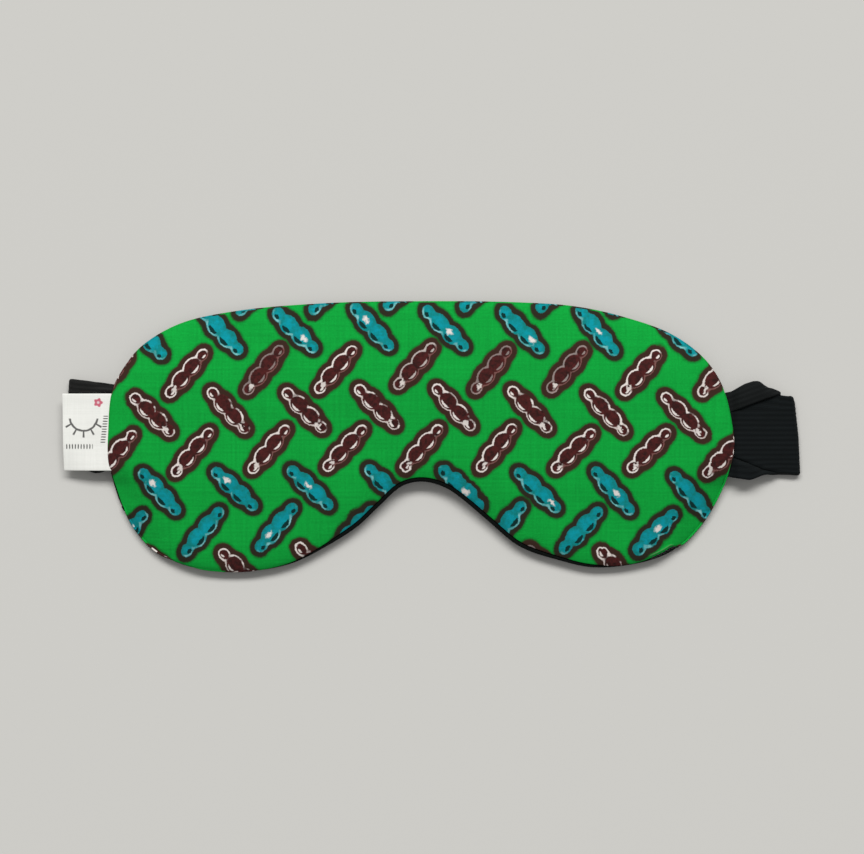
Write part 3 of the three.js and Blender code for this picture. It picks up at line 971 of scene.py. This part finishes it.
def make_rear_run(left_upper, right_upper):
    """The band behind the pad, with the fold at each of its ends."""
    x = np.linspace(-JOIN_X, JOIN_X, 70)[1:-1, None]
    straight = stacked(x, rear_y(x), REAR_LOWER)
    grid = np.concatenate([folded_under(-1, left_upper), straight, folded_under(1, right_upper)[::-1]])
    # Painted light: the rear run turns lighter grey towards its left fold, to match the left end.
    painted_light_share = ramp(-grid[:, :, 0], 100, 112)
    thickness = strap_thickness(np.ones(grid.shape[:2]))
    piece = strap_piece("strap_rear_webbing", *band(grid, thickness, flat_pattern(grid, painted_light_share)))
    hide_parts("strap_rear_run")
    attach(piece, "strap")


def lead_band(upper, side, painted_light_share=0):
    """One strap end's upper layer, squeezed in the seam and full beyond the rim."""
    end = side * RIM_X[side]
    full = ramp(side * upper[:, :, 0], end - 1, end + 6)
    return band(upper, strap_thickness(full), flat_pattern(upper, painted_light_share))


def falling(x, side):
    """The upper layer's height: level with the seam at the rim, and down to the fold."""
    fall = ramp(side * np.asarray(x), side * RIM_X[side] + 1, side * FALLEN_X[side])
    return STRAP_SEWN_MIDDLE + (UPPER_LAYER_MIDDLE - STRAP_SEWN_MIDDLE) * fall


# X and Y stations along the upper layers' edges and the right end's pleat and flap
LOW_EDGE = {
    1: [(96, -12.9), (100, -12.9), (104.2, -13.6), (107.4, -14.1), (110.4, -12.9), (112, -12.3),
        (118, -12.0), (124, -12.4)],
    -1: [(-116, -6.9), (-112, -8.4), (-109, -10.6), (-106, -11.9), (-103.5, -11.6), (-101, -10.2),
         (-96, -9.2)],
}
LEFT_HIGH = [(-116, 19.3), (-99, 17.0), (-96, 15.5)]
RIGHT_HIGH = [(96, 12.0), (117, 13.7), (120.6, 13.25), (122.4, 12.6), (126, 12.6)]
PLEAT_CREASE = [(100, -6.3), (102.1, -7.0), (108.6, -9.8), (111.9, -11.2), (118.9, -12.3), (124, -12.8)]
FLAP_TOP = [(96, 12.4), (99.5, 14.3), (101.4, 14.7), (106, 16.9), (108.6, 17.7), (110.2, 17.8),
            (111.4, 16.9), (113, 15.8), (116.7, 14.9), (117.6, 14.3)]
FLAP_LOW = [(96, 6.2), (101.4, 8.3), (106, 10.1), (112, 12.3), (116, 13.6), (117.6, 14.0)]
FLAP_START, FLAP_END = 97.2, 117.5
FLAP_ROLL = 0.6
FLAP_LIFT = 1.22
FLAP_THICKNESS = 1.05
# Painted light: the flap is painted a little lighter, as if it catches more light than the band below.
FLAP_PAINTED_LIGHT = 0.3


def dent(distance_to, width):
    """1 at a line, fading to 0 on both sides."""
    return np.exp(-(distance_to / width) ** 2)


def right_height(x, y):
    """Height of the right end's upper layer, with its loose lower pleat."""
    spring = ramp(x, 101.5, 104) * (1 - np.clip((x - 103) / 17, 0, 1))
    below = through(x, PLEAT_CREASE) - y
    pleat = ramp(below, 0, 0.5) * (0.25 + 0.9 * spring) - 0.85 * dent(below + 0.3, 0.4)
    nick = 0.12 * dent(x - 112.5, 0.5) * hump(y, -3, 0, 4, 6)
    return falling(x, 1) + 0.9 * spring + pleat * ramp(x, 100.5, 102.5) - nick


def left_height(x, y):
    """Height of the left end's upper layer, gathered a little at the top of the seam."""
    gathers = 0.35 * np.sin((y - 11) * 1.9) * ramp(y, 8, 13) * ramp(x, -107, -102)
    return falling(x, -1) + gathers + 0.25 * hump(-x, 101.5, 105, 108, 114)


def low_edge(x, side):
    return through(x, LOW_EDGE[side])


def high_edge(x, side):
    if side < 0:
        return through(x, LEFT_HIGH)
    plain = line_through(x, RIGHT_HIGH)
    under_flap = line_through(x, FLAP_TOP) - FLAP_ROLL
    return np.where(x < 117.2, np.maximum(under_flap, plain), plain)


def right_flap():
    """The strip of webbing folded forward over the top of the right end."""
    x = np.linspace(FLAP_START, FLAP_END, 44)[:, None]
    crest = line_through(x, FLAP_TOP) - FLAP_ROLL
    width = np.maximum(crest - line_through(x, FLAP_LOW), 0.15)
    squeeze = 0.36 + 0.64 * ramp(x, 100.3, 106)
    fade = 1 - 0.55 * ramp(x, 113, FLAP_END)
    lift = FLAP_LIFT * squeeze * fade
    columns = []
    for angle in np.linspace(-math.pi / 2, math.pi / 2, 7):
        y = crest + FLAP_ROLL * math.cos(angle)
        z = right_height(x, np.minimum(y, crest)) + lift / 2 * (1 + math.sin(angle))
        columns.append(np.concatenate([x, y, z], axis=1))
    for share in np.linspace(0, 1, 27)[1:]:
        y = crest - width * share
        puff = 0.35 * math.sin(math.pi * share) * ramp(x, 101, 105) * fade
        columns.append(np.concatenate([x, y, right_height(x, y) + lift + puff], axis=1))
    grid = np.stack(columns, axis=1)
    # The fold is slanted, so the ribs run parallel to the flap's lower edge
    across = travelled(grid, axis=1)
    from_edge = across[:, -1:] - across
    thickness = FLAP_THICKNESS * squeeze * (1 - 0.4 * ramp(x, 114, FLAP_END))
    thickness = ribs(thickness, from_edge, from_edge, 1.5 * RIB_DEPTH)
    points, faces, pattern = band(grid, thickness, stacked(x, from_edge, FLAP_PAINTED_LIGHT))
    return points, turned(faces), pattern


def make_right_lead(upper):
    points, faces, pattern = lead_band(upper, 1)
    flap_points, flap_faces, flap_pattern = right_flap()
    faces = faces + [[v + len(points) for v in f] for f in flap_faces]
    points, pattern = np.vstack([points, flap_points]), np.vstack([pattern, flap_pattern])
    piece = strap_piece("strap_right_lead", points, faces, pattern)
    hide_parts("strap_right_end")
    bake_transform(piece)


def make_left_lead(upper):
    # Painted light: the whole left end is painted lighter grey.
    points, faces, pattern = lead_band(upper, -1, painted_light_share=1)
    piece = strap_piece("strap_left_lead", points, turned(faces), pattern)
    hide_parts("strap_left_end")
    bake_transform(piece)


# ------------ label

def make_label():
    """A tape folded in half: in from the seam, round the soft fold and back."""
    layer_rows, fold_rows = 34, 7
    y = np.linspace(LABEL_LOW, LABEL_HIGH, 30)
    fold_x = -116.1 - 0.45 * (y - LABEL_LOW) / (LABEL_HIGH - LABEL_LOW)
    bend = fold_x + LABEL_LOOP + TAPE_THICKNESS / 2

    def lie(x):
        """Height of the middle of the label, which droops and ripples beyond the rim."""
        out = ramp(-x, 99, 104)
        droop = 0.9 * ramp(-x, 104, 116) * (0.85 + 0.15 * np.sin(y * 0.21))
        ripple = 0.07 * np.sin((x + 116) * 0.55 + y * 0.12) + 0.05 * np.sin(y * 0.5)
        hanging = 1.1 * ramp(-y, 2, 13) * ramp(-x, 105, 117)
        return LABEL_HEIGHT + (0.28 + ripple) * out - droop - hanging

    lower, upper = [], []
    for t in np.linspace(0, 1, layer_rows):
        x = LABEL_SEWN_X + (bend - LABEL_SEWN_X) * t
        parting = ramp(-x, 97, 108)
        spread = TAPE_THICKNESS + (LABEL_LOOP - TAPE_THICKNESS) * parting
        lower.append(stacked(x, y, lie(x) - LABEL_LOOP * parting))
        upper.append(stacked(x, y, lie(x) + spread))
    fold = []
    for turn in np.linspace(0, math.pi, fold_rows + 2)[1:-1]:
        x = bend - LABEL_LOOP * math.sin(turn)
        fold.append(stacked(x, y, lie(bend) - LABEL_LOOP * math.cos(turn)))
    grid = np.array(lower + fold + upper[::-1])
    flat = grid.copy()
    flat[:, :, 2] = np.arange(len(grid))[:, None] >= layer_rows + fold_rows // 2
    mesh = band(grid, np.full(grid.shape[:2], TAPE_THICKNESS), flat)
    piece = new_piece("side_label", "label_tape", *mesh)
    refine(piece)
    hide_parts("label", "label_sewn_end")
    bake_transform(piece)


# ------------ scene

FLOOR_COLOUR = (0.617, 0.611, 0.584)
FLOOR_HALF = 3000
WINDOW_SHARE = 0.7  # of the light on the floor. The rest comes from the room.
WINDOW_GAIN = 1.21  # makes up for the window's far ends
WINDOW_AWAY = 12  # metres
WINDOW_SIZE = (13.5, 3.4)
WINDOW_ANGLE = math.radians(47)  # above the floor
LENS, SENSOR = 85, 36
VIEW_WIDTH = 280.8
VIEW_CENTRE = (3.9, 3.25)
VIEW_PLANE = 5  # height at which the view has that width


def make_floor():
    cloth = Cloth("pale_floor", roughness=0.95, specular=0.0)
    cloudy = cloth.noise(cloth.object_places([1] * 3), detail=1)
    colour = cloth.shade(FLOOR_COLOUR, cloudy * 0.01 + 1.0)
    feed(cloth.tree, colour, cloth.shader.inputs["Base Color"])
    corners = [(x * FLOOR_HALF, y * FLOOR_HALF, 0) for x, y in ((-1, -1), (1, -1), (1, 1), (-1, 1))]
    floor = new_object("floor", corners, [range(4)])
    floor.data.materials.append(cloth.material)


def make_light():
    """Soft daylight from a wide window beyond the forehead edge, and an even pale room."""
    data = bpy.data.lights.new("window", "AREA")
    data.shape = "RECTANGLE"
    data.size, data.size_y = WINDOW_SIZE
    data.energy = WINDOW_GAIN * WINDOW_SHARE * (math.pi * WINDOW_AWAY) ** 2 / math.sin(WINDOW_ANGLE)
    data.color = (1, 0.995, 0.985)
    light = bpy.data.objects.new("window", data)
    light.location = (0, WINDOW_AWAY * math.cos(WINDOW_ANGLE), WINDOW_AWAY * math.sin(WINDOW_ANGLE))
    light.rotation_euler = (WINDOW_ANGLE - math.pi / 2, 0, 0)
    scene.collection.objects.link(light)
    world = bpy.data.worlds.new("room")
    world.use_nodes = True
    background = world.node_tree.nodes["Background"]
    background.inputs["Color"].default_value = (1, 1, 1, 1)
    background.inputs["Strength"].default_value = 1 - WINDOW_SHARE
    scene.world = world


def make_camera():
    """Straight down on the mask, a little right of and above its middle."""
    data = bpy.data.cameras.new("camera")
    data.lens = LENS
    data.sensor_width = SENSOR
    camera = bpy.data.objects.new("camera", data)
    camera.location = Vector((*VIEW_CENTRE, VIEW_PLANE + VIEW_WIDTH * LENS / SENSOR)) * MM
    scene.collection.objects.link(camera)
    scene.camera = camera
    scene.view_settings.view_transform = "Standard"


make_floor()
make_light()
make_camera()
make_pad()
left_upper, right_upper = upper_layer(-1), upper_layer(1)
make_rear_run(left_upper, right_upper)
make_right_lead(right_upper)
make_left_lead(left_upper)
make_label()
for name in ("strap_tack_left", "strap_tack_right"):
    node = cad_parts[name]
    node.data.materials.clear()
    node.data.materials.append(MATERIALS["dark_thread"])
